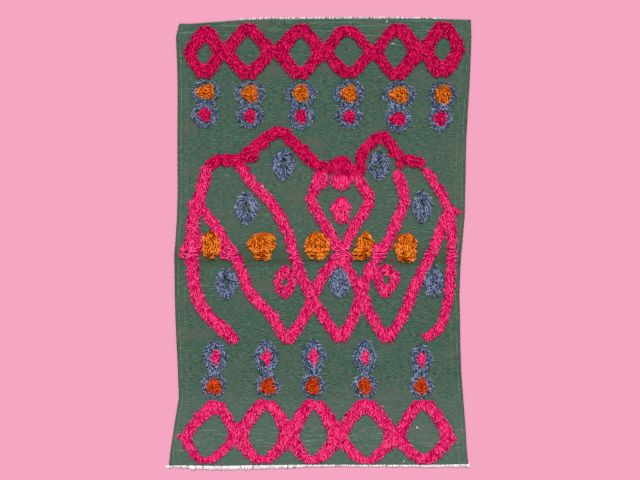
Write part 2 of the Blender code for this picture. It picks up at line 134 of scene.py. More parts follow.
def closed_sheet(top, under):
    """Points and faces of a thin closed cloth, from two grids (row, column, xyz) of one shape.

    A face takes four neighbours, anticlockwise from its own side. A wall joins the grids round the rim.
    """
    rows, columns = top.shape[:2]
    count = rows * columns
    index = np.arange(count).reshape(rows, columns)
    quads = np.stack((index[:-1, :-1], index[:-1, 1:], index[1:, 1:], index[1:, :-1]), -1).reshape(-1, 4)
    rim = np.concatenate((index[0, :-1], index[:-1, -1], index[-1, :0:-1], index[:0:-1, 0]))
    after = np.roll(rim, -1)
    wall = np.stack((rim + count, after + count, after, rim), -1)
    points = np.concatenate((top.reshape(-1, 3), under.reshape(-1, 3)))
    return points, [np.concatenate((quads, quads[:, ::-1] + count, wall))]


def waves(places, size, seed):
    """A smooth random field, mostly within 1 of zero.

    It is the sum of six plane waves about one size long, with chance directions and phases, over 2.4.
    """
    dice = np.random.default_rng(seed)
    directions = dice.uniform(0, math.tau, 6)
    lengths = size * dice.uniform(0.7, 1.5, 6)
    phases = dice.uniform(0, math.tau, 6)
    run = places[..., :1] * np.cos(directions) + places[..., 1:2] * np.sin(directions)
    return np.sin(run / lengths * math.tau + phases).sum(axis=-1) / 2.4


def ground_grids():
    """The cloth's upper and lower grids and each point's distance in from its side edge.

    Rows follow the two end edges and blend between them. Columns follow the side edges: the fine ones
    over the cords keep their distance from the edge, and the rest share what lies between.
    """
    rim_points = np.unique(rim_of("ground").reshape(-1, 2), axis=0)
    top_end = rim_points[rim_points[:, 1] > END_ROWS_FROM]
    bottom_end = rim_points[rim_points[:, 1] < -END_ROWS_FROM]
    side_points = rim_points[abs(rim_points[:, 1]) < END_ROWS_FROM]
    sides = []
    for sign, corner in ((-1, 0), (1, -1)):
        edge = np.vstack((bottom_end[corner], side_points[side_points[:, 0] * sign > 0], top_end[corner]))
        sides.append(edge[np.argsort(edge[:, 1])])
    left, right = sides

    fine = np.linspace(0, SELVEDGE_WIDTH, SELVEDGE_COLUMNS)
    middle = np.linspace(0, 1, MIDDLE_COLUMNS + 2)[1:-1]
    weight = np.concatenate((np.zeros_like(fine), middle, np.ones_like(fine)))
    inset = np.concatenate((fine, SELVEDGE_WIDTH * (1 - 2 * middle), -fine[::-1]))
    nominal = (weight - 0.5) * GROUND_SIZE[0]
    low = np.interp(nominal, bottom_end[:, 0], bottom_end[:, 1])
    high = np.interp(nominal, top_end[:, 0], top_end[:, 1])
    along = low + (high - low) * np.linspace(0, 1, GROUND_ROWS)[:, None]
    left_x = np.interp(along, left[:, 1], left[:, 0])
    right_x = np.interp(along, right[:, 1], right[:, 0])
    across = left_x + (right_x - left_x) * weight + inset
    from_edge = np.minimum(across - left_x, right_x - across)

    dice = np.random.default_rng(1)
    weft = dice.normal(0, 1, along.shape)
    neighbours = np.array((1, 2, 3, 2, 1)) / 9
    weft = np.apply_along_axis(lambda row: np.convolve(row, neighbours, "same"), 1, weft)
    places = np.stack((across, along), -1)
    cords = sum(np.exp(-((from_edge - cord) / CORD_WIDTH)**2) for cord in SELVEDGE_CORDS)
    height = GROUND_TOP + crease_lift(along) + cords * CORD_RISE
    height += weft * WEFT_RELIEF + waves(places, COCKLE_SIZE, 2) * COCKLE_RISE
    height -= EDGE_ROUNDING * np.exp(-from_edge / EDGE_ROUNDING)
    wander = waves(places * (1, 12), WANDER_SIZE, 3) * EDGE_WANDER * (from_edge < SELVEDGE_WIDTH)
    top = np.stack((across + wander, along, height), -1)
    under = top * (1, 1, 0)
    return top, under, from_edge


def daylight(red, green, blue):
    """A colour seen in daylight, 0 to 255, as the linear values that shaders take."""
    values = np.array((red, green, blue)) / 255
    linear = np.where(values <= 0.04045, values / 12.92, ((values + 0.055) / 1.055)**2.4)
    return (*linear.tolist(), 1.0)


def shader_node(tree, kind, sockets=None, **settings):
    """A shader node with its settings made, and each named socket set, or linked from another."""
    made = tree.nodes.new("ShaderNode" + kind)
    for name, value in settings.items():
        setattr(made, name, value)
    for name, value in (sockets or {}).items():
        if isinstance(value, bpy.types.NodeSocket):
            tree.links.new(value, made.inputs[name])
        else:
            made.inputs[name].default_value = value
    return made


def colour_ramp(tree, amount, stops):
    """Colours read off by a number, in straight runs between (place, colour) pairs in rising order."""
    made = shader_node(tree, "ValToRGB", {"Fac": amount})
    ramp = made.color_ramp
    ramp.elements[0].position, ramp.elements[0].color = stops[0]
    ramp.elements[1].position, ramp.elements[1].color = stops[-1]
    for place, colour in stops[1:-1]:
        ramp.elements.new(place).color = colour
    return made.outputs["Color"]


def stretched_noise(tree, coordinates, across, along, detail=2.0):
    """Noise with so many cells to a metre across and along the rug."""
    placed = shader_node(tree, "Mapping", {"Vector": coordinates, "Scale": (across, along, CELLS_THROUGH)})
    made = shader_node(tree, "TexNoise", {"Vector": placed.outputs[0], "Scale": 1.0, "Detail": detail})
    return made.outputs["Fac"]


def ramp_up(tree, value, start, end):
    """0 below start, 1 above end, and smooth between."""
    made = shader_node(
        tree, "MapRange", {"Value": value, "From Min": start, "From Max": end},
        interpolation_type="SMOOTHSTEP")
    return made.outputs["Result"]


def maths(tree, operation, first, second):
    """One sum on two numbers or sockets."""
    made = shader_node(tree, "Math", {0: first, 1: second}, operation=operation)
    return made.outputs[0]


def mixed_colour(tree, amount, under, over):
    """Two colours mixed by an amount, 0 for the under one and 1 for the over one."""
    made = tree.nodes.new("ShaderNodeMix")
    made.data_type = "RGBA"
    wanted = {("Factor", "VALUE"): amount, ("A", "RGBA"): under, ("B", "RGBA"): over}
    for socket in made.inputs:
        value = wanted.get((socket.name, socket.type))
        if isinstance(value, bpy.types.NodeSocket):
            tree.links.new(value, socket)
        elif value is not None:
            socket.default_value = value
    return next(socket for socket in made.outputs if socket.type == "RGBA")


def bare_wool(name, roughness, sheen):
    """A new material with one wool-like shader. Returns it, its node tree and the shader."""
    material = bpy.data.materials.new(name)
    material.use_nodes = True
    tree = material.node_tree
    shader = tree.nodes["Principled BSDF"]
    shader.inputs["Roughness"].default_value = roughness
    shader.inputs["Specular IOR Level"].default_value = 0.03
    shader.inputs["Sheen Weight"].default_value = sheen
    shader.inputs["Sheen Roughness"].default_value = 0.5
    return material, tree, shader


# Noise cells to a metre, across the rug and along it, and through it
STREAK_CELLS = (70, 420)
RIB_CELLS = (160, 900)
DASH_CELLS = (90, 30)
CELLS_THROUGH = 300.0
SPECK_CELLS = 21.0
SPECK_RIM, SPECK_CORE = 0.042, 0.024    # how far from its middle a speck starts and is full, in cells
# Tints of the ground: noise cells across and along, where the tint starts and is full, its colour
GROUND_TINTS = (
    (7, 11, 0.50, 0.80, daylight(73, 79, 69)),
    (14, 60, 0.56, 0.80, daylight(46, 80, 70)),
    (60, 130, 0.62, 0.78, daylight(44, 88, 76)),
    (90, 190, 0.58, 0.76, daylight(86, 70, 62)),
    (190, 380, 0.62, 0.76, daylight(92, 112, 96)),
)
# Bands across the weft, greyer, paler or darker: level along the rug, reach to both sides, noise cells
# where the band shows in streaks only, colour, strength. The two dark ones at the fold are painted
# shade along the crease and a painted shadow line below it.
GROUND_BANDS_AND_FOLD_SHADE = (
    (-760 * MM, 330 * MM, None, daylight(92, 106, 98), 0.22),
    (100 * MM, 260 * MM, None, daylight(86, 94, 82), 0.12),
    # painted shade along the fold's crease
    (-42 * MM, 44 * MM, None, daylight(50, 60, 42), 0.5),
    # a painted shadow line below the crease
    (-62 * MM, 9 * MM, (3, 160), daylight(34, 50, 40), 0.8),
    (-665 * MM, 56 * MM, (16, 210), daylight(128, 142, 128), 0.36),
    (735 * MM, 44 * MM, (6, 120), daylight(88, 114, 98), 0.6),
)
# Dark and pale lines along the selvedge: distance in from the side edge, colour, strength
SELVEDGE_LINES = (
    (1 * MM, daylight(44, 66, 50), 0.75),
    (4 * MM, daylight(50, 74, 56), 0.6),
    (8 * MM, daylight(56, 80, 64), 0.5),
    (13 * MM, daylight(106, 112, 88), 0.75),
    (17 * MM, daylight(54, 72, 58), 0.6),
    (24 * MM, daylight(92, 90, 72), 0.5),
    (33 * MM, daylight(100, 110, 94), 0.5),
    (37 * MM, daylight(54, 74, 60), 0.5),
)
LINE_RIM, LINE_CORE = 1.6 * MM, 0.5 * MM    # how far from its middle a line starts and is full


def green_ground_wool():
    """Green weft in fine streaks, greyer in places, with reddish flecks and pale specks of fibre.

    The bands follow the distance along the rug; the two dark ones at the fold are painted shade and
    a painted shadow line. At the sides the number from_edge places the lines of the selvedge, broken
    into dashes. The bump is the streaks and finer ribs.
    """
    material, tree, shader = bare_wool("green_ground_wool", roughness=0.95, sheen=0.0)
    spot = shader_node(tree, "TexCoord").outputs["Object"]
    streaks = stretched_noise(tree, spot, *STREAK_CELLS, detail=4.0)
    colour = colour_ramp(tree, streaks, (
        (0.28, daylight(31, 51, 41)), (0.44, daylight(49, 72, 60)), (0.56, daylight(62, 84, 71)),
        (0.74, daylight(84, 105, 91))))
    for across, along, start, end, wool in GROUND_TINTS:
        patch = ramp_up(tree, stretched_noise(tree, spot, across, along), start, end)
        colour = mixed_colour(tree, patch, colour, wool)
    speckle = shader_node(tree, "TexVoronoi", {"Vector": spot, "Scale": SPECK_CELLS})
    near = ramp_up(tree, speckle.outputs["Distance"], SPECK_RIM, SPECK_CORE)
    chosen = ramp_up(tree, speckle.outputs["Color"], 0.42, 0.62)
    colour = mixed_colour(tree, maths(tree, "MULTIPLY", near, chosen), colour, daylight(148, 157, 140))

    along = shader_node(tree, "SeparateXYZ", {"Vector": spot}).outputs["Y"]
    # Bands along the rug, two of them painted shade at the fold
    for level, reach, cells, wool, strength in GROUND_BANDS_AND_FOLD_SHADE:
        offset = maths(tree, "ABSOLUTE", maths(tree, "SUBTRACT", along, level), 0.0)
        amount = maths(tree, "MULTIPLY", ramp_up(tree, offset, reach, 0.5 * reach), strength)
        if cells:
            streaked = ramp_up(tree, stretched_noise(tree, spot, *cells), 0.56, 0.68)
            amount = maths(tree, "MULTIPLY", amount, streaked)
        colour = mixed_colour(tree, amount, colour, wool)
    inset = shader_node(tree, "Attribute", attribute_name="from_edge").outputs["Fac"]
    dashes = ramp_up(tree, stretched_noise(tree, spot, *DASH_CELLS), 0.34, 0.56)
    for place, wool, strength in SELVEDGE_LINES:
        offset = maths(tree, "ABSOLUTE", maths(tree, "SUBTRACT", inset, place), 0.0)
        line = maths(tree, "MULTIPLY", ramp_up(tree, offset, LINE_RIM, LINE_CORE), dashes)
        colour = mixed_colour(tree, maths(tree, "MULTIPLY", line, strength), colour, wool)
    tree.links.new(colour, shader.inputs["Base Color"])

    fine_ribs = maths(tree, "MULTIPLY", stretched_noise(tree, spot, *RIB_CELLS), 0.6)
    ribs = maths(tree, "ADD", streaks, fine_ribs)
    bump = shader_node(tree, "Bump", {"Height": ribs, "Strength": 0.9, "Distance": 0.9 * MM})
    tree.links.new(bump.outputs[0], shader.inputs["Normal"])
    return material


top_grid, under_grid, from_edge = ground_grids()
ground_points, ground_faces = closed_sheet(top_grid, under_grid)
ground_cloth = mesh_piece("ground_cloth", ground_points, ground_faces, green_ground_wool())
point_values(ground_cloth, "from_edge", np.tile(from_edge.ravel(), 2))
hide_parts("ground")
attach(ground_cloth, "root")

# The top border: a chain of six crimson lozenges. Like every figure on the rug, it is tied in knot by
# knot: each knot leaves a lock of thick wool that stands up, leans over and lies on its neighbours.

LOCK_SIDES = 3
LOCK_STATIONS = np.array((0, 0.33, 0.7, 1))
LOCK_GIRTH = np.array((0.85, 1.0, 1.0, 0.62))          # radius along a lock, beside its largest
LOCK_RISE = np.array((0.15, 0.95, 1.0, 0.85))          # how far each station has climbed the mound
LOCK_ARCH = np.array((0, 0.9, 0.8, 0))                 # the hump of a lock that stands before it lies
# Painted shade down in the pile and a painted highlight at the cut tip, by station along a lock
LOCK_PAINTED_SHADE_AND_HIGHLIGHT = np.array((-0.46, -0.13, 0.08, 0.26))      # darker down in the pile, paler at the cut tip
MOUND_HEIGHT = 4.6 * MM
MOUND_SHOULDER = 6 * MM                                # how far in from a rim the mound is nearly full
MOUND_SINK = 1.4 * MM                                  # how far it is let down into the cloth
MOUND_SHARE = 0.62                                     # its height beside the solid's
# The mound and domes under the locks are painted darker: painted shade in the gaps between locks
MOUND_PAINTED_SHADE = 0.26
# Rings of the low dome under loose knots: share of the way out from its middle, share of its height
DOME_RINGS = np.array(((0.9, -0.3), (0.75, 0.6), (0.4, 1.0)))
RAGGED_RIM = 1.7 * MM                                  # how far the rim of the knots swells and shrinks
RAGGED_SIZE = 0.028                                    # length of those waves
SPLAY_REACH = 9 * MM                                   # how far in from a rim the locks point outwards
SHORTEST_LOCK = 0.4                                    # beside the least of a figure's lengths
SHADE_MIDDLE, SHADE_SPREAD, SHADE_WAVES = 0.6, 0.2, 0.06
FOLD_ALONG = -31 * MM                                  # where the fold has pressed the pile flat
FOLD_REACH = 25 * MM
FOLD_LAYER = 10.5 * MM                                 # the pressed locks lie in layers this far apart
# painted shade in dark bands between the fold's pressed layers of locks
FOLD_PAINTED_SHADE = 0.42
YARN_TWIST = 9 * MM                                    # length of one turn of the yarn's ply
FUZZ_CELLS = 900.0                                     # noise cells to a metre of the yarn's fibres
KNOT_SCATTER = 0.35                                    # of a pitch, to each side
LOCK_BEND = 0.18                                       # sideways, of a lock's length at its tip
GIRTH_RANGE, ARCH_RANGE = (0.82, 1.15), (0.3, 1.0)     # of a figure's girth and arch
PLACES_AT_ONCE = 4000                                  # compared with an outline in one array


def depth_in(rim, places):
    """How deep each place (count, xy) lies inside an outline, below 0 outside, and its way out.

    A place is inside where a line from it along +X crosses the outline an odd number of times. The way
    out is the direction to the nearest point of the rim, turned round for a place outside.
    """
    start, run = rim[:, 0], rim[:, 1] - rim[:, 0]
    run_squared = (run**2).sum(axis=1)
    depths, ways = [], []
    for chunk in np.array_split(places, max(1, len(places) // PLACES_AT_ONCE)):
        gap = chunk[:, None] - start
        share = np.clip((gap * run).sum(axis=2) / run_squared, 0, 1)
        to_rim = share[..., None] * run - gap
        distance = np.hypot(to_rim[..., 0], to_rim[..., 1])
        nearest = distance.argmin(axis=1)
        rows = np.arange(len(chunk))
        above = rim[:, :, 1] > chunk[:, None, 1:2]
        crossing = above[..., 0] != above[..., 1]
        rise = np.where(run[:, 1] == 0, 1, run[:, 1])
        to_the_right = start[:, 0] + run[:, 0] * gap[..., 1] / rise > chunk[:, 0:1]
        inside = (crossing & to_the_right).sum(axis=1) % 2 == 1
        sign = np.where(inside, 1.0, -1.0)
        depths.append(distance[rows, nearest] * sign)
        ways.append(to_rim[rows, nearest] * sign[:, None])
    way_out = np.concatenate(ways)
    return np.concatenate(depths), way_out / (np.linalg.norm(way_out, axis=1)[:, None] + 1e-9)


def deepest_in(outlines, places):
    """Each place's depth and way out, as depth_in gives them, in the outline where it lies deepest."""
    found = [depth_in(rim, places) for rim in outlines]
    depths = np.stack([depth for depth, _ in found])
    ways = np.stack([way for _, way in found])
    best, rows = depths.argmax(axis=0), np.arange(len(places))
    return depths[best, rows], ways[best, rows]


def oval(across, along, half_across, half_along):
    """An oval outline as segments, from its centre and its half sizes in millimetres."""
    angles = np.linspace(0, math.tau, 25)
    points = np.stack((across + half_across * np.cos(angles), along + half_along * np.sin(angles)), -1) * MM
    return np.stack((points[:-1], points[1:]), 1)


def unit(vectors):
    """Vectors over their own lengths."""
    return vectors / (np.linalg.norm(vectors, axis=-1, keepdims=True) + 1e-9)


def turned(vectors, angles):
    """Plane vectors turned anticlockwise by their own angles."""
    cosine, sine = np.cos(angles), np.sin(angles)
    x, y = vectors[..., 0], vectors[..., 1]
    return np.stack((x * cosine - y * sine, x * sine + y * cosine), -1)


def knots_in(outlines, row_pitch, knot_pitch, margin, dice):
    """Knots tied in weft rows: an even lattice over outlines, alternate rows shifted by half a pitch.

    Chance moves each knot a little. Those deeper inside an outline than the margin are kept, and the
    margin swells and shrinks along the rim, so that the rim isn't straight where the outline is.
    """
    every = np.concatenate(outlines)
    low, high = every.min(axis=(0, 1)), every.max(axis=(0, 1))
    rows = np.arange(low[1], high[1], row_pitch)
    columns = np.arange(low[0] - knot_pitch, high[0], knot_pitch)
    x, y = np.meshgrid(columns, rows)
    x = x + (np.arange(len(rows)) % 2)[:, None] * knot_pitch / 2
    knots = np.stack((x, y), -1).reshape(-1, 2)
    knots += dice.uniform(-KNOT_SCATTER, KNOT_SCATTER, knots.shape) * (knot_pitch, row_pitch)
    depth, way_out = deepest_in(outlines, knots)
    kept = depth > margin + waves(knots, RAGGED_SIZE, 9) * RAGGED_RIM
    return knots[kept], depth[kept], way_out[kept]


def tubes(paths, radii, sides):
    """Points and faces of closed tubes round many paths (tube, station, xyz) at once.

    A ring's points stand at even angles in the plane of the path's level sideways direction and of
    the direction at right angles to that and to the path. Also gives (u, v) for the faces' corners:
    turns round the tube, and metres along it.
    """
    count, stations = radii.shape
    tangents = unit(np.gradient(paths, axis=1))
    run = paths[:, -1] - paths[:, 0]
    sideways = unit(np.stack((-run[:, 1], run[:, 0], np.zeros(count)), -1))[:, None]
    upward = np.cross(tangents, np.broadcast_to(sideways, tangents.shape))
    angles = (np.arange(sides) + 0.75) / sides * math.tau
    spread = np.cos(angles)[:, None] * sideways[:, :, None] + np.sin(angles)[:, None] * upward[:, :, None]
    points = paths[:, :, None] + radii[..., None, None] * spread

    index = np.arange(count * stations * sides).reshape(count, stations, sides)
    after = np.roll(index, -1, axis=2)
    walls = np.stack((index[:, :-1], after[:, :-1], after[:, 1:], index[:, 1:]), -1).reshape(-1, 4)
    caps = np.concatenate((index[:, 0, ::-1], index[:, -1]))
    steps = np.linalg.norm(np.diff(paths, axis=1), axis=2)
    run_length = np.concatenate((np.zeros((count, 1)), np.cumsum(steps, axis=1)), axis=1)
    turn = np.broadcast_to(np.arange(sides) / sides, (count, stations - 1, sides))
    near = np.broadcast_to(run_length[:, :-1, None], turn.shape)
    far = np.broadcast_to(run_length[:, 1:, None], turn.shape)
    u = np.stack((turn, turn + 1 / sides, turn + 1 / sides, turn), -1)
    v = np.stack((near, near, far, far), -1)
    wall_uv = np.stack((u, v), -1).reshape(-1, 2)
    cap_uv = np.zeros((caps.size, 2))
    return points.reshape(-1, 3), [walls, caps], [wall_uv, cap_uv]


def low_dome(rim):
    """Points and three-cornered faces of the dense pile in an oval outline of loose knots."""
    outer = rim[:, 0]
    count = len(outer)
    middle = outer.mean(axis=0)
    rings = middle + (outer - middle) * DOME_RINGS[:, :1, None]
    flat = np.vstack((rings.reshape(-1, 2), middle))
    height = np.append(np.repeat(DOME_RINGS[:, 1], count), DOME_RINGS[-1, 1]) * MOUND_HEIGHT * MOUND_SHARE
    points = np.column_stack((flat, GROUND_TOP + crease_lift(flat[:, 1]) + height))
    index = np.arange(len(rings) * count).reshape(len(rings), count)
    after = np.roll(index, -1, axis=1)
    lower = np.stack((index[:-1], after[:-1], after[1:]), -1).reshape(-1, 3)
    upper = np.stack((index[:-1], after[1:], index[1:]), -1).reshape(-1, 3)
    top = np.stack((index[-1], after[-1], np.full(count, len(points) - 1)), -1)
    return points, np.concatenate((lower, upper, top))


def mound_of(node, drawn_in):
    """The dense pile under a figure's locks: its solid, flattened and let down into the cloth.

    Equal corners are merged into one point. drawn_in moves its places, as seen from above.
    """
    corners = corners_of(node)
    corners[..., :2] = drawn_in(corners[..., :2])
    points, order = np.unique(np.round(corners.reshape(-1, 3), 6), axis=0, return_inverse=True)
    base = GROUND_TOP + crease_lift(points[:, 1])
    points[:, 2] = base - MOUND_SINK + (points[:, 2] - base) * MOUND_SHARE
    return points, order.reshape(-1, 3)


def lock_paths(outlines, knots, heading, length, bend, layer, arch, girth):
    """Centre lines (lock, station, xyz) of locks that climb out of the pile, arch over and lie down.

    A lock runs from its knot along its heading, and a bend takes it sideways with the square of the
    way. Its height is the ground's, the mound's there, its own layer and an arch, each by station.
    """
    reach = (length[:, None] * LOCK_STATIONS)[..., None]
    side = np.stack((-heading[:, 1], heading[:, 0]), -1)
    sideways = (bend * length)[:, None] * LOCK_STATIONS**2
    flat = knots[:, None] + heading[:, None] * reach + side[:, None] * sideways[..., None]
    depth = deepest_in(outlines, flat.reshape(-1, 2))[0].reshape(flat.shape[:2])
    mound = MOUND_HEIGHT * (1 - np.exp(-np.maximum(depth, 0) / MOUND_SHOULDER))
    height = GROUND_TOP + crease_lift(flat[..., 1]) + girth[:, None]
    height = height + (mound + layer[:, None]) * LOCK_RISE + arch[:, None] * LOCK_ARCH
    return np.concatenate((flat, height[..., None]), -1)


def pulled_in(outlines, knots, heading, length, overshoot):
    """Lengths shortened so that each lock's tip ends no further outside the outlines than overshoot."""
    for _ in range(2):
        beyond = -deepest_in(outlines, knots + heading * length[:, None])[0] - overshoot
        length = length - np.clip(beyond, 0, None)
    return length


def pressed(along):
    """How flat the fold has pressed the pile, from 0 to 1 on its line."""
    return np.exp(-((along - FOLD_ALONG) / FOLD_REACH)**2)


def folded(knots, direction):
    """Headings turned sideways near the fold, where the pile was pressed flat, left or right by turns."""
    press = pressed(knots[:, 1:2])
    sideways = np.sign(waves(knots, 0.06, 7))[:, None] * (1.0, 0.0) + (0.0, -0.1)
    return unit(direction) * (1 - press) + sideways * press


def hanging(splay):
    """The heading of loose pile: down the rug, and outwards near the rim by the splay."""
    def heading(knots, depth, way_out):
        outward = splay * np.exp(-depth / SPLAY_REACH)
        return folded(knots, np.array((0.0, -1.0)) + way_out * outward[:, None])
    return heading


def along_band(hang, splay, comb=1.0):
    """The heading of pile combed down along its band, with some hang and some splay at the rims."""
    def heading(knots, depth, way_out):
        down_the_band = np.stack((way_out[:, 1], -way_out[:, 0]), -1)
        down_the_band *= -np.sign(down_the_band[:, 1:2] + 1e-6)
        outward = splay * np.exp(-depth / SPLAY_REACH)
        return down_the_band * comb + np.array((0.0, -hang)) + way_out * outward[:, None]
    return heading


def pile_wool(name, dark, middle, light):
    """Thick matt yarn. The number shade runs from painted shade in the pile to painted highlights at the
    tips.

    Fine noise breaks up the colour as fibres do. The bump adds the ply's twist, a wave over turns
    round the lock and way along it, and fuzz.
    """
    material, tree, shader = bare_wool(name, roughness=0.9, sheen=0.0)
    shade = shader_node(tree, "Attribute", attribute_name="shade").outputs["Fac"]
    spot = shader_node(tree, "TexCoord")
    fuzz = shader_node(
        tree, "TexNoise", {"Vector": spot.outputs["Object"], "Scale": FUZZ_CELLS, "Detail": 2.0})
    amount = maths(tree, "ADD", shade, maths(tree, "MULTIPLY", fuzz.outputs["Fac"], 0.3))
    # Dark for painted shade in the pile, light for painted highlights at the tips, each lock's own tone
    # between
    colour = colour_ramp(tree, amount, (
        (0.22, daylight(*dark)), (0.62, daylight(*middle)), (1.0, daylight(*light))))
    tree.links.new(colour, shader.inputs["Base Color"])
    ply = shader_node(tree, "SeparateXYZ", {"Vector": spot.outputs["UV"]})
    turns = maths(tree, "MULTIPLY", ply.outputs["Y"], 1 / YARN_TWIST)
    phase = maths(tree, "MULTIPLY", maths(tree, "ADD", ply.outputs["X"], turns), 2 * math.tau)
    relief = maths(tree, "ADD", maths(tree, "SINE", phase, 0.0), fuzz.outputs["Fac"])
    bump = shader_node(tree, "Bump", {"Height": relief, "Strength": 0.6, "Distance": 0.35 * MM})
    tree.links.new(bump.outputs[0], shader.inputs["Normal"])
    return material


def as_it_is(places):
    """Leaves an outline's places where the solid has them."""
    return places


def pile_piece(node, wool, slot, heading, seed, row_pitch=5.6 * MM, knot_pitch=4.0 * MM,
               lengths=(9 * MM, 16 * MM), girth=1.5 * MM, stray=0.3, margin=1.2 * MM, arch=2.4 * MM,
               overshoot=4 * MM, layers=2.2 * MM, drawn_in=as_it_is, loose=(), holes=()):
    """One figure's pile in place of its solid: a mound and the locks that its knots leave on it.

    loose has ovals of more knots beside the figure, each with a low dome. The rings in holes have
    knots only. The mound and domes are painted darker, as shade between the locks. Near the fold
    painted shade falls in bands between the pressed layers, with the cosine of the way along.
    """
    dice = np.random.default_rng(seed)
    beside = [oval(*row) for row in loose]
    outlines = [drawn_in(rim_of(node)), *beside, *holes]
    knots, depth, way_out = knots_in(outlines, row_pitch, knot_pitch, margin, dice)
    count = len(knots)
    leaning = waves(knots, 0.05, seed) * stray + dice.normal(0, stray, count)
    direction = turned(unit(heading(knots, depth, way_out)), leaning)
    length, past_rim = dice.uniform(*lengths, count), dice.uniform(0, overshoot, count)
    length = pulled_in(outlines, knots, direction, length, past_rim)
    length = np.maximum(length, lengths[0] * SHORTEST_LOCK)
    girths = girth * dice.uniform(*GIRTH_RANGE, count)
    paths = lock_paths(
        outlines, knots, direction, length, dice.normal(0, LOCK_BEND, count),
        dice.uniform(0, layers, count), dice.uniform(*ARCH_RANGE, count) * arch, girths)
    points, faces, corner_uv = tubes(paths, girths[:, None] * LOCK_GIRTH, LOCK_SIDES)
    shade = SHADE_MIDDLE + dice.normal(0, SHADE_SPREAD, count) + waves(knots, 0.03, seed + 1) * SHADE_WAVES
    # Painted shade near the fold: dark bands between the pressed layers of locks
    layer_wave = np.cos((knots[:, 1] + waves(knots, 0.08, 5) * 2 * MM) / FOLD_LAYER * math.tau)
    shade -= FOLD_PAINTED_SHADE * pressed(knots[:, 1]) * (layer_wave - 0.1)
    # Along each lock: painted shade down in the pile, a painted highlight at the cut tip
    shade = np.repeat((shade[:, None] + LOCK_PAINTED_SHADE_AND_HIGHLIGHT).ravel(), LOCK_SIDES)
    lock_points = len(points)
    for more_points, more_faces in (mound_of(node, drawn_in), *map(low_dome, beside)):
        faces.append(more_faces + len(points))
        corner_uv.append(np.zeros((more_faces.size, 2)))
        points = np.concatenate((points, more_points))
    made = mesh_piece(node + "_pile", points, faces, wool)
    # Painted shade: the mound and domes take a darker number than the locks
    point_values(made, "shade", np.append(shade, np.full(len(points) - lock_points, MOUND_PAINTED_SHADE)))
    uv = made.data.uv_layers.new(name="yarn").uv
    uv.foreach_set("vector", np.concatenate(corner_uv).astype(np.float32).ravel())
    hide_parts(node)
    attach(made, "root")


crimson_wool = pile_wool("crimson_wool", (96, 0, 38), (210, 0, 84), (246, 48, 112))
pile_piece("top_lozenges", crimson_wool, "crimson_wool", along_band(0.5, 1.5, comb=0.4), seed=11,
           margin=2.6 * MM, overshoot=2 * MM)

# The bottom border: a chain of five pink lozenges, whose locks hang down the rug and splay out at the
# rims of the band.

pink_wool = pile_wool("pink_wool", (112, 2, 54), (244, 22, 112), (255, 98, 154))
# Ovals of knots that round the tops of the chain, in millimetres: across, along, half across, half along
LOZENGE_TOPS = ((-359, -545, 23, 13), (-193, -541, 25, 13), (-31, -541, 23, 13), (155, -541, 27, 13),
                (356, -543, 23, 12))
pile_piece("bottom_lozenges", pink_wool, "pink_wool", hanging(splay=1.1), seed=31, margin=2.6 * MM,
           overshoot=2.5 * MM, loose=LOZENGE_TOPS)

# The middle field: long crossing strands of pink pile that hang loosely down the rug, under two
# crimson roofs combed along their bands, with a crimson and a pink cap where the roofs meet.

# Ovals of loose knots beside a figure, in millimetres: across, along, half across, half along
STRAND_FRINGES = ((15, 214, 16, 32), (-455, -27, 20, 26), (-407, 0, 12, 50), (-316, -31, 26, 24),
                  (75, -48, 46, 20), (201, -24, 30, 27), (-384, 246, 19, 21), (-258, 252, 25, 15))
ROOF_FEET = {"roof_left": ((14, 258, 24, 21), (-232, 292, 26, 19), (-362, 272, 22, 17)),
             "roof_right": ((136, 252, 24, 22),)}
CAP_SIDES = ((37, 252, 16, 18), (110, 252, 19, 18), (77, 244, 42, 14))
CAP_PINK_SIDES = ((47, 218, 10, 20), (103, 218, 10, 20), (76, 196, 31, 14))

pile_piece("field_strands", pink_wool, "pink_wool", hanging(splay=0.8), seed=51, margin=0.6 * MM,
           overshoot=5 * MM, loose=STRAND_FRINGES)
for order, (node, feet) in enumerate(ROOF_FEET.items()):
    pile_piece(node, crimson_wool, "crimson_wool", along_band(hang=0.7, splay=0.5), seed=61 + order,
               margin=0.5 * MM, overshoot=8 * MM, loose=feet)
pile_piece("cap_crimson", crimson_wool, "crimson_wool", hanging(splay=0.9), seed=71, margin=0.0,
           overshoot=7 * MM, loose=CAP_SIDES)
pile_piece("cap_pink", pink_wool, "pink_wool", hanging(splay=0.3), seed=81, margin=0.0, stray=0.14,
           overshoot=5 * MM, lengths=(12 * MM, 20 * MM), loose=CAP_PINK_SIDES)

# The pink tuft in the middle of the motif, a bell of long locks, and the two pink rings between the
# strands. They are tied in the strands' yarn. The right ring has run together with its strand.


def reshaped(node, profile):
    """Gives an oval figure another outline.

    Each place's distance from the middle line is divided by the oval's half width there, and
    multiplied by the profile's: (share of the height, share of the half width), from the bottom up.
    """
    low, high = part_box(node)
    middle = (low[0] + high[0]) / 2
    levels, widths = np.array(profile).T

    def drawn_in(places):
        share = np.clip((places[..., 1] - low[1]) / (high[1] - low[1]), 0, 1)
        oval_width = np.maximum(np.sqrt(1 - (2 * share - 1)**2), 0.3)
        across = middle + (places[..., 0] - middle) / oval_width * np.interp(share, levels, widths)
        return np.stack((across, places[..., 1]), -1)
    return drawn_in


def parasol(node):
    """The heading of a bell of long locks: from the middle of its top, down and outwards."""
    low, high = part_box(node)
    top = np.array(((low[0] + high[0]) / 2, high[1] + 0.5 * (high[1] - low[1])))

    def heading(knots, depth, way_out):
        return unit(knots - top)
    return heading


# The tuft's profile, and ovals of loose knots beside each ring
BELL = ((0, 0.62), (0.42, 0.74), (0.5, 1.08), (0.62, 1.0), (1, 0.25))
RING_SIDES = ((), ((177, -98, 27, 30), (264, -118, 12, 28), (224, -170, 20, 16)))

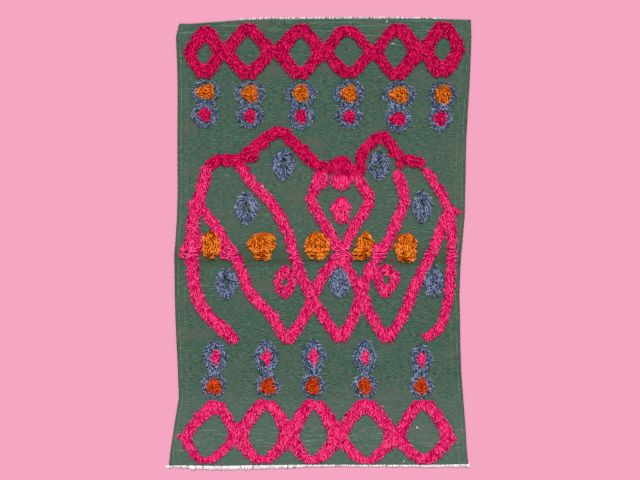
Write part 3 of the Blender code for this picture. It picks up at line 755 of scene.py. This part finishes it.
pile_piece("pink_tuft", pink_wool, "pink_wool", parasol("pink_tuft"), seed=82, stray=0.1, overshoot=8 * MM,
           lengths=(12 * MM, 22 * MM), drawn_in=reshaped("pink_tuft", BELL))
for order, node in enumerate(("pink_ring_1", "pink_ring_2")):
    pile_piece(node, pink_wool, "pink_wool", hanging(splay=0.8), seed=83 + order, loose=RING_SIDES[order])

# Orange tufts along the fold, tied in the thickest yarn: mops whose locks fall outwards from the
# middle of their tops. The fold presses the lowest locks sideways.

orange_wool = pile_wool("orange_wool", (96, 34, 0), (212, 92, 0), (252, 160, 62))
LAYER_FROM = 0.6                    # how far down a mop its locks start to turn sideways
LAYER_REACH = 6 * MM                # and over what length they do


def from_the_crown(node):
    """The heading of a mop: outwards from the middle of its top and down, and sideways at its foot."""
    low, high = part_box(node)
    crown = np.array(((low[0] + high[0]) / 2, high[1]))

    def heading(knots, depth, way_out):
        away = knots - crown
        level = crown[1] - LAYER_FROM * (high[1] - low[1])
        layered = np.clip((level - knots[:, 1:2]) / LAYER_REACH, 0, 1)
        sideways = np.sign(away[:, :1]) * (1.0, 0.0)
        return (unit(away) + np.array((0.0, -0.3))) * (1 - layered) + sideways * layered
    return heading


MOP_YARN = {
    "row_pitch": 5.6 * MM, "knot_pitch": 4.8 * MM, "girth": 1.95 * MM, "stray": 0.32, "overshoot": 5 * MM,
    "lengths": (11 * MM, 19 * MM), "arch": 3.2 * MM,
}
# Each tuft's profile as reshaped takes it, and ovals of more knots beside it
ORANGE_TUFTS = (
    (((0, 0.6), (0.3, 0.9), (0.6, 1.0), (0.85, 0.75), (1, 0.4)), ((-366, -4, 33, 48),)),
    (((0, 0.58), (0.34, 0.6), (0.42, 0.96), (0.62, 1.06), (0.82, 0.86), (1, 0.5)), ()),
    (((0, 0.5), (0.2, 0.85), (0.6, 1.0), (0.85, 0.75), (1, 0.4)), ((-1, -8, 38, 46),)),
    (((0, 0.7), (0.35, 0.75), (0.5, 1.12), (0.66, 1.0), (0.78, 0.5), (1, 0.34)), ((143, -38, 28, 22),)),
    (((0, 0.6), (0.25, 0.9), (0.55, 1.05), (0.8, 0.85), (1, 0.5)), ()),
)
for order, (profile, beside) in enumerate(ORANGE_TUFTS, 1):
    node = f"orange_tuft_{order}"
    pile_piece(node, orange_wool, "orange_wool", from_the_crown(node), seed=90 + order,
               drawn_in=reshaped(node, profile), loose=beside, **MOP_YARN)

# Grey-blue eyes in the field: rings of thinner yarn that arcs round a small hole of bare ground and
# hangs out below it.

blue_wool = pile_wool("blue_wool", (22, 36, 48), (84, 102, 130), (178, 184, 220))


def narrowed(node, profile):
    """Draws a figure in towards its middle line by (share of its height, share of its width) pairs."""
    low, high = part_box(node)
    middle = (low[0] + high[0]) / 2
    levels, widths = np.array(profile).T

    def drawn_in(places):
        share = (places[..., 1] - low[1]) / (high[1] - low[1])
        across = middle + (places[..., 0] - middle) * np.interp(share, levels, widths)
        return np.stack((across, places[..., 1]), -1)
    return drawn_in


def round_a_hole(centre):
    """The heading round a ring: down along it from the top, and outwards below the centre."""
    def heading(knots, depth, way_out):
        spoke = unit(knots - centre)
        round_it = np.stack((spoke[:, 1], -spoke[:, 0]), -1)
        round_it *= -np.sign(round_it[:, 1:2] + 1e-6)
        below = np.clip(0.35 - spoke[:, 1:2], 0, 1)
        return round_it * (1 - below) + spoke * (0.3 + below) + np.array((0.0, -0.25))
    return heading


def middle_of(node):
    """The middle of a solid's box, from above."""
    low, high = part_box(node)
    return np.array(((low[0] + high[0]) / 2, (low[1] + high[1]) / 2))


THIN_YARN = {
    "row_pitch": 4.2 * MM, "knot_pitch": 3.4 * MM, "girth": 1.05 * MM, "stray": 0.5, "overshoot": 7 * MM,
    "lengths": (9 * MM, 18 * MM), "margin": 0.6 * MM, "layers": 3.2 * MM,
}
EYE_PROFILE = ((0, 1.5), (0.1, 0.95), (0.22, 0.8), (0.45, 1.05), (0.8, 0.97), (1, 0.8))
# Ovals of knots over the eyes that the yarn has closed
SHUT_EYES = {6: ((70, -129, 36, 52),), 7: ((388, -129, 33, 54),)}
for order in range(1, 8):
    node = f"field_eye_{order}"
    heading = hanging(splay=1.1) if order in SHUT_EYES else round_a_hole(middle_of(node))
    pile_piece(node, blue_wool, "blue_wool", heading, seed=100 + order,
               drawn_in=narrowed(node, EYE_PROFILE), loose=SHUT_EYES.get(order, ()), **THIN_YARN)

# Pairs of eyes under the top border and above the bottom one: two blue rings one above the other,
# each with a knotted middle in its own colour.

rust_wool = pile_wool("rust_wool", (98, 18, 0), (190, 52, 0), (232, 100, 46))
CURLY_YARN = {
    "row_pitch": 4.2 * MM, "knot_pitch": 3.8 * MM, "lengths": (6 * MM, 10 * MM), "stray": 1.2,
    "girth": 1.6 * MM, "arch": 3.4 * MM, "overshoot": 6 * MM,
}
PAIR_PROFILES = {
    "top": ((0, 0.9), (0.3, 1.0), (1, 1.0)),
    "bottom": ((0, 0.9), (0.15, 0.96), (0.29, 1.0), (0.44, 0.88), (0.51, 0.84), (0.75, 0.98), (0.89, 0.8),
               (1, 0.55)),
}
MIDDLE_PROFILES = {
    "top_upper": ((0, 0.6), (0.4, 1.0), (0.7, 0.95), (1, 0.5)),
    "top_lower": ((0, 0.5), (0.4, 1.15), (0.7, 1.0), (1, 0.3)),
    "bottom_upper": ((0, 0.3), (0.35, 0.8), (0.55, 1.15), (0.75, 0.8), (1, 0.3)),
    "bottom_lower": ((0, 0.6), (0.28, 1.2), (0.5, 1.1), (0.8, 0.75), (1, 0.5)),
}
HOLE_REACH = 6 * MM                 # how wide the bare ring is between an eye's middle and its yarn


def hole_round(node):
    """The ring of ground round an eye's middle, as one outline: an oval less the middle's own outline."""
    low, high = (np.array(corner[:2]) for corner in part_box(node))
    middle, halves = (low + high) / 2 / MM, (high - low) / 2 / MM + HOLE_REACH / MM
    return np.concatenate((oval(*middle, *halves), rim_of(node)))


for border, count, upper, lower in (
        ("top", 6, ("orange_wool", orange_wool), ("crimson_wool", crimson_wool)),
        ("bottom", 5, ("pink_wool", pink_wool), ("rust_wool", rust_wool))):
    for order in range(1, count + 1):
        seed = 200 + 10 * order + count
        node = f"{border}_eye_{order}"
        holes = [hole_round(f"{border}_eye_{part}_{order}") for part in ("upper", "lower")]
        pile_piece(node, blue_wool, "blue_wool", hanging(splay=1.6), seed=seed, holes=holes,
                   drawn_in=narrowed(node, PAIR_PROFILES[border]), **THIN_YARN)
        for part, (slot, wool) in (("upper", upper), ("lower", lower)):
            middle = f"{border}_eye_{part}_{order}"
            pile_piece(middle, wool, slot, hanging(0.3), seed=seed + 1,
                       drawn_in=reshaped(middle, MIDDLE_PROFILES[f"{border}_{part}"]), **CURLY_YARN)

# The cut ends of the warp: white cotton ends in a narrow ragged band below the ground, longer in its
# left half, and shorter ones, white and dark, along the middle of the top end.

WARP_PITCH = 1.9 * MM
WARP_GIRTH = 1.15 * MM
THIN_WARP_GIRTH = 0.8 * MM
WARP_SCATTER = 0.8 * MM
WARP_SIDES = 4
WARP_HEIGHTS = (0.6 * MM, 2.6 * MM)  # how far up in the cloth's thickness an end comes out
WARP_DROP = 0.7                      # the share of that height that it has lost at its tip
WARP_LEAN, WARP_BEND = 0.22, 0.14
PALE_END, DARK_END = 0.8, 0.12       # the number shade for the two kinds
UNDER_THE_CLOTH = 1.0 * MM           # each end starts this far inside the ground's edge


def warp_wool():
    """White cotton, with the number shade for its dark and greyish ends."""
    material, tree, shader = bare_wool("white_warp", roughness=0.9, sheen=0.2)
    shade = shader_node(tree, "Attribute", attribute_name="shade").outputs["Fac"]
    spot = shader_node(tree, "TexCoord").outputs["Object"]
    tint = ramp_up(tree, stretched_noise(tree, spot, 14, 14), 0.45, 0.75)
    colour = colour_ramp(tree, shade, (
        (0.05, daylight(58, 52, 50)), (0.3, daylight(128, 120, 118)), (0.55, daylight(218, 210, 206)),
        (0.9, daylight(228, 220, 220))))
    colour = mixed_colour(tree, maths(tree, "MULTIPLY", tint, 0.45), colour, daylight(206, 188, 216))
    tree.links.new(colour, shader.inputs["Base Color"])
    return material


white_cotton = warp_wool()


def cut_warps(name, node, down, dark_share, fluff, fringe, girth, seed):
    """Cut warp ends in place of a ragged strip: short threads from under the cloth's edge outwards.

    down is -1 where they point down the rug, and fluff is how many ends each warp has frayed into.
    fringe is a table of places across and lengths that show, in millimetres.
    """
    dice = np.random.default_rng(seed)
    first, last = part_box(node)[0][0] + WARP_GIRTH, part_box(node)[1][0] - WARP_GIRTH
    x = np.repeat(np.arange(first, last, WARP_PITCH), fluff)
    x = np.clip(x + dice.normal(0, WARP_SCATTER, len(x)), first, last)
    edge = np.unique(rim_of("ground").reshape(-1, 2), axis=0)
    edge = edge[edge[:, 1] * down > END_ROWS_FROM]
    root = np.interp(x, edge[:, 0], edge[:, 1]) - down * UNDER_THE_CLOTH
    places, lengths = np.array(fringe).T * MM
    ragged = dice.uniform(0.55, 1.0, len(x)) + waves(np.stack((x, root), -1), 0.03, seed) * 0.12
    length = np.interp(x, places, lengths) * ragged + UNDER_THE_CLOTH
    heading = turned(np.array((0.0, down)) + np.zeros((len(x), 1)), dice.normal(0, WARP_LEAN, len(x)))
    bend = (dice.normal(0, WARP_BEND, len(x)) * length)[:, None] * LOCK_STATIONS**2
    reach = (length[:, None] * LOCK_STATIONS)[..., None]
    flat = np.stack((x, root), -1)[:, None] + heading[:, None] * reach
    flat[..., 0] += bend
    girth = girth * dice.uniform(0.7, 1.2, len(x))
    height = girth[:, None] + dice.uniform(*WARP_HEIGHTS, len(x))[:, None] * (1 - WARP_DROP * LOCK_STATIONS)
    paths = np.concatenate((flat, height[..., None]), -1)
    points, faces, _ = tubes(paths, girth[:, None] * LOCK_GIRTH, WARP_SIDES)
    shade = np.where(dice.uniform(0, 1, len(x)) < dark_share, DARK_END, PALE_END)
    shade += dice.normal(0, 0.1, len(x))
    made = mesh_piece(name, points, faces, white_cotton)
    point_values(made, "shade", np.repeat(shade, WARP_SIDES * len(LOCK_STATIONS)))
    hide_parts(node)
    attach(made, "root")
    return made


BOTTOM_FRINGE = ((-510, 13), (-470, 7), (-440, 16), (-230, 17), (-100, 13), (20, 9), (300, 9), (505, 13))
TOP_FRINGE = ((-280, 7), (100, 9), (300, 7), (430, 5))
bottom_warps = cut_warps("bottom_warp_ends", "end_band", -1.0, dark_share=0.1, fluff=3,
                         fringe=BOTTOM_FRINGE, girth=WARP_GIRTH, seed=401)
top_warps = cut_warps("top_warp_ends", "warp_ends", 1.0, dark_share=0.5, fluff=2,
                      fringe=TOP_FRINGE, girth=THIN_WARP_GIRTH, seed=402)

# Loose threads that lie on the rug: single ends of the same cotton and wool that have worked their
# way out of the weave and the knots. They are short, a little curved and flat on what is under them.

THREAD_SHADE = 0.95


def loose_threads(name, wool, rows, girth, seed):
    """Short threads that curve with the square of the way along them.

    A row is across, along and height above the ground in millimetres, heading in degrees, and length.
    """
    dice = np.random.default_rng(seed)
    table = np.array(rows, float)
    places, angles = table[:, :3] * MM, np.radians(table[:, 3])
    heading = np.stack((np.cos(angles), np.sin(angles)), -1)[:, None]
    side = np.stack((-heading[..., 1], heading[..., 0]), -1)
    run = table[:, 4:5, None] * MM * LOCK_STATIONS[:, None]
    bend = run**2 / (table[:, 4:5, None] * MM) * dice.normal(0, 0.4)
    flat = places[:, None, :2] + heading * run + side * bend
    height = GROUND_TOP + crease_lift(flat[..., 1]) + places[:, 2:3] + LOCK_ARCH * 0.5 * MM
    paths = np.concatenate((flat, height[..., None]), -1)
    radii = girth * np.ones((len(rows), 1)) * LOCK_GIRTH
    points, faces, corner_uv = tubes(paths, radii, LOCK_SIDES)
    made = mesh_piece(name, points, faces, wool)
    point_values(made, "shade", np.full(len(points), THREAD_SHADE))
    along_yarn = made.data.uv_layers.new(name="yarn").uv
    along_yarn.foreach_set("vector", np.concatenate(corner_uv).astype(np.float32).ravel())
    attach(made, "root")


PALE_ENDS = (
    (-192, 194, 9, -40, 9), (-188, 192, 9, 200, 8), (330, -629, 9, 100, 8), (331, -626, 9, 20, 6),
    (228, 752, 1, -60, 7), (234, 750, 1, 140, 7), (244, 674, 7, 20, 8), (251, 677, 7, -30, 7),
    (286, -745, 1, 80, 8),
)
PINK_ENDS = (
    (-478, -654, 2, 205, 13), (-470, -650, 2, 190, 14), (206, -557, 3, 20, 16), (217, -555, 3, -50, 12),
    (155, -742, 3, 75, 16), (158, -746, 3, 110, 14), (-384, 252, 7, 60, 14), (-374, 258, 7, 40, 13),
)
loose_threads("pale_ends", white_cotton, PALE_ENDS, 1.2 * MM, seed=501)
loose_threads("pink_ends", pink_wool, PINK_ENDS, 1.3 * MM, seed=502)

# The floor, the light and the camera: a pale pink floor under soft studio light from beyond the top
# end, seen from straight above.

FLOOR_REACH = 6.0
FLOOR_LEVEL = -0.2 * MM             # a hair under the cloth
CAMERA_HEIGHT = 3.02
CAMERA_PLACE = (0.004, 0.010)
floor_material, _, floor_shader = bare_wool("pale_floor", roughness=0.9, sheen=0.0)
floor_shader.inputs["Base Color"].default_value = daylight(199, 134, 158)
corner_signs = np.array(((-1, -1), (1, -1), (1, 1), (-1, 1)))
floor_points = np.column_stack((corner_signs * FLOOR_REACH, np.full(4, FLOOR_LEVEL)))
floor = mesh_piece("floor", floor_points, [np.array(((0, 1, 2, 3),))], floor_material)

sun = bpy.data.objects.new("window_light", bpy.data.lights.new("window_light", "SUN"))
sun.data.energy = 4.0
sun.data.angle = math.radians(16)
sun.rotation_euler = (math.radians(-42), math.radians(10), 0.0)
bpy.context.scene.collection.objects.link(sun)
world = bpy.data.worlds.new("soft_room")
world.use_nodes = True
world.node_tree.nodes["Background"].inputs["Color"].default_value = (1.0, 1.0, 1.0, 1.0)
world.node_tree.nodes["Background"].inputs["Strength"].default_value = 0.68
bpy.context.scene.world = world

camera = bpy.data.objects.new("camera", bpy.data.cameras.new("camera"))
camera.location = (*CAMERA_PLACE, CAMERA_HEIGHT)
camera.data.lens = 50.0
camera.data.sensor_width = 36.0
bpy.context.scene.collection.objects.link(camera)
bpy.context.scene.camera = camera
bpy.context.scene.view_settings.view_transform = "Standard"
